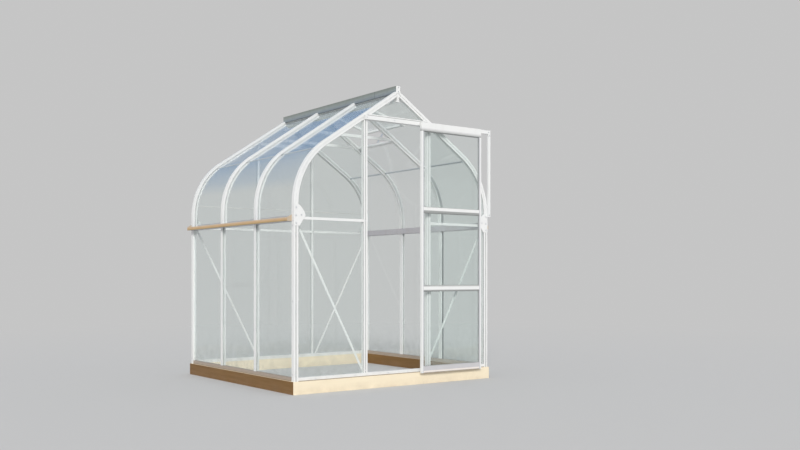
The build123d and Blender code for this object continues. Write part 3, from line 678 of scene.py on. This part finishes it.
def sill_shadow_lines():
    """A thin brown strip between the sills and the base, all round, that is a painted shadow line."""
    tall = 0.005
    proud = 0.0012
    mesh_data = bmesh.new()
    for name, facing in (("sill_front", FRONT), ("sill_back", BACK)):
        low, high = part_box(name)
        face = gable_y(facing, 0)
        block(mesh_data, (low.x, face, low.z), (high.x, face + facing * proud, low.z + tall))
    low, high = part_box("side_sills")
    for x, out in ((low.x, -proud), (high.x, proud)):
        block(mesh_data, (x, low.y, low.z), (x + out, high.y, low.z + tall))
    make_piece("sill_shadow_lines", mesh_data, SILL_SHADOW_BROWN)


# Bolts that show on the frame: the radius of their heads by place, and the height of the lowest
GUSSET_BOLT = 0.0040
POST_BOLT = 0.0032
SILL_BOLT = 0.0032
UPRIGHT_BOLT = 0.0028
TRACK_BOLT = 0.0034
STRUT_BOLT = 0.0036
WALL_BOLT = 0.0034
CAP_BOLT = 0.0035
FOOT_BOLT_Z = sill_high.z + 0.023


def gable_bolts(mesh_data, facing):
    """Bolts of a gable: on its gusset plates, corner posts, jambs or studs, and sill."""
    gusset_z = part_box("gusset_plates")[0].z
    gusset_places = ((0.019, 0.019), (0.019, 0.076), (0.019, 0.136), (0.065, 0.081))
    post_inset = 0.016
    post_heights = (FOOT_BOLT_Z, 0.62, 1.20)
    rails_low, rails_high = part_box("front_mid_rails")
    upright_middle = sum(upright_edges(facing)) / 2
    upright_heights = (sill_high.z + 0.019, (rails_low.z + rails_high.z) / 2)
    sill_places = (-0.78, -0.42, -0.10, 0.10, 0.42, 0.78)
    out = (0, facing, 0)
    face = gable_y(facing, 0)
    for side in SIDES:
        for inset, rise in gusset_places:
            spot = (side * (HALF_WIDTH - inset), gable_y(facing, -GUSSET_PLATE), gusset_z + rise)
            bolt(mesh_data, spot, out, GUSSET_BOLT)
        for z in post_heights:
            bolt(mesh_data, (side * (HALF_WIDTH - post_inset), face, z), out, POST_BOLT)
        for z in upright_heights:
            spot = (side * upright_middle, gable_y(facing, JAMB_GROOVE), z)
            bolt(mesh_data, spot, out, UPRIGHT_BOLT)
    for x in sill_places:
        bolt(mesh_data, (x, face, (sill_low.z + sill_high.z) / 2), out, SILL_BOLT)


def track_bolts(mesh_data):
    """Bolts along the door track and at both ends of its strut."""
    track_end = 0.020
    strut_foot = 0.014
    strut_top = 0.015
    out = (0, FRONT, 0)
    low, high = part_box("door_track")
    for x in (low.x + track_end, -0.05, 0.25, 0.55, high.x - track_end):
        bolt(mesh_data, (x, low.y, (low.z + high.z) / 2), out, TRACK_BOLT)
    low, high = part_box("track_strut")
    for z in (low.z + strut_foot, high.z - strut_top):
        bolt(mesh_data, ((low.x + high.x) / 2, low.y, z), out, STRUT_BOLT)


def wall_bolts(mesh_data, side):
    """Bolts of a long side, on its wall posts and corner posts."""
    wall_post_heights = (GUTTER_Z - 0.023, FOOT_BOLT_Z)
    corner_post_heights = (FOOT_BOLT_Z, 0.70, GUTTER_Z - 0.033)
    x = side * HALF_WIDTH
    out = (side, 0, 0)
    for y in ARCH_Y[1:-1]:
        for z in wall_post_heights:
            bolt(mesh_data, (x, y, z), out, WALL_BOLT)
    for facing in (FRONT, BACK):
        for z in corner_post_heights:
            bolt(mesh_data, (x, gable_y(facing, BAR_WIDTH / 2), z), out, WALL_BOLT)


def ridge_bolts(mesh_data):
    """Two bolts on each end cap of the ridge."""
    edge = 0.012
    low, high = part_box("ridge_end_caps")
    for z in (low.z + edge, high.z - edge):
        bolt(mesh_data, (0, low.y, z), (0, FRONT, 0), CAP_BOLT)
        bolt(mesh_data, (0, high.y, z), (0, BACK, 0), CAP_BOLT)


def frame_bolts():
    """All the bolts of the frame as one piece."""
    mesh_data = bmesh.new()
    for facing in (FRONT, BACK):
        gable_bolts(mesh_data, facing)
    track_bolts(mesh_data)
    for side in SIDES:
        wall_bolts(mesh_data, side)
    ridge_bolts(mesh_data)
    make_piece("frame_bolts", mesh_data, FINISHES["bright_metal"])


gable_seals()
eave_joint_strips()
back_joint()
door_seals_and_shade()
frame_shade_lines()
sill_shadow_lines()
frame_bolts()


# Stage: a pale floor that fades into a pale background, soft light, one lamp and the camera
BACKDROP = colour(0.56, 0.56, 0.56)
FLOOR = colour(0.616, 0.616, 0.616)
FLOOR_RADIUS = 70.0
FADE_START = 3.0
FADE_END = 9.0

# Blue of the background above the photograph's view, and the sines of the elevations where it
# begins and where it is full
SKY = colour(0.13, 0.26, 0.46)
SKY_START = 0.31
SKY_END = 0.42

# Light
SOFT_LIGHT = colour(0.95, 0.97, 1.0)
SOFT_STRENGTH = 0.58
LAMP_SPOT = (-4.0, -5.8, 3.7)
LAMP_STRENGTH = 2.25
LAMP_SPREAD = 18
LAMP_TINT = (1.0, 0.985, 0.965)

# Camera: metres, degrees, millimetres, and a shift as a share of the picture's width
CAMERA_SPOT = (-4.437, -6.887, 0.889)
CAMERA_TURN = -36.676
LENS = 41.37
SENSOR_WIDTH = 36.0
LENS_SHIFT = 0.06398
CLIP_END = 200.0


def stage_floor():
    """A round floor that keeps the shadow near the object and fades into the background."""
    mesh_data = bmesh.new()
    bmesh.ops.create_circle(mesh_data, cap_ends=True, radius=FLOOR_RADIUS, segments=96)
    mesh = bpy.data.meshes.new("floor")
    mesh_data.to_mesh(mesh)
    mesh_data.free()
    floor = bpy.data.objects.new("floor", mesh)
    bpy.context.scene.collection.objects.link(floor)
    made, tree = new_material("floor")
    spot = add(tree, "TexCoord").outputs["Object"]
    reach = add(tree, "VectorMath", {0: spot}, operation="LENGTH").outputs["Value"]
    fade = remap(tree, reach, FADE_START, FADE_END)
    lit = add(tree, "BsdfDiffuse", {"Color": FLOOR}).outputs[0]
    flat = add(tree, "Emission", {"Color": BACKDROP}).outputs[0]
    finish_with(tree, blend(tree, fade, lit, flat))
    mesh.materials.append(made)


def world():
    """Soft light from all round, and the plain background, bluer overhead, that camera and glass see."""
    made = bpy.data.worlds.new("studio")
    bpy.context.scene.world = made
    made.use_nodes = True
    tree = made.node_tree
    tree.nodes.clear()
    path = add(tree, "LightPath").outputs
    seen = calc(tree, "MAXIMUM", path["Is Camera Ray"], path["Is Glossy Ray"])
    seen = calc(tree, "MAXIMUM", seen, path["Is Transmission Ray"])
    soft = add(tree, "Background", {"Color": SOFT_LIGHT, "Strength": SOFT_STRENGTH}).outputs[0]
    direction = add(tree, "TexCoord").outputs["Generated"]
    height = add(tree, "SeparateXYZ", {0: direction}).outputs["Z"]
    shade = mix(tree, remap(tree, height, SKY_START, SKY_END), BACKDROP, SKY)
    plain = add(tree, "Background", {"Color": shade}).outputs[0]
    out = add(tree, "OutputWorld")
    tree.links.new(blend(tree, seen, soft, plain), out.inputs["Surface"])


def lamp():
    """A distant lamp, wide enough for soft shadows, that neither the camera nor a mirror sees."""
    light = bpy.data.lights.new("key", "SUN")
    light.energy = LAMP_STRENGTH
    light.angle = radians(LAMP_SPREAD)
    light.color = LAMP_TINT
    made = bpy.data.objects.new("key", light)
    made.location = LAMP_SPOT
    made.rotation_euler = (-Vector(LAMP_SPOT)).to_track_quat("-Z", "Y").to_euler()
    made.visible_camera = False
    made.visible_glossy = False
    bpy.context.scene.collection.objects.link(made)


def camera():
    """The camera at the photograph's angle."""
    lens = bpy.data.cameras.new("camera")
    lens.lens = LENS
    lens.sensor_width = SENSOR_WIDTH
    lens.shift_y = LENS_SHIFT
    lens.clip_end = CLIP_END
    made = bpy.data.objects.new("camera", lens)
    made.location = CAMERA_SPOT
    made.rotation_euler = (radians(90), 0, radians(CAMERA_TURN))
    bpy.context.scene.collection.objects.link(made)
    bpy.context.scene.camera = made


stage_floor()
world()
lamp()
camera()
bpy.context.scene.view_settings.view_transform = "Standard"
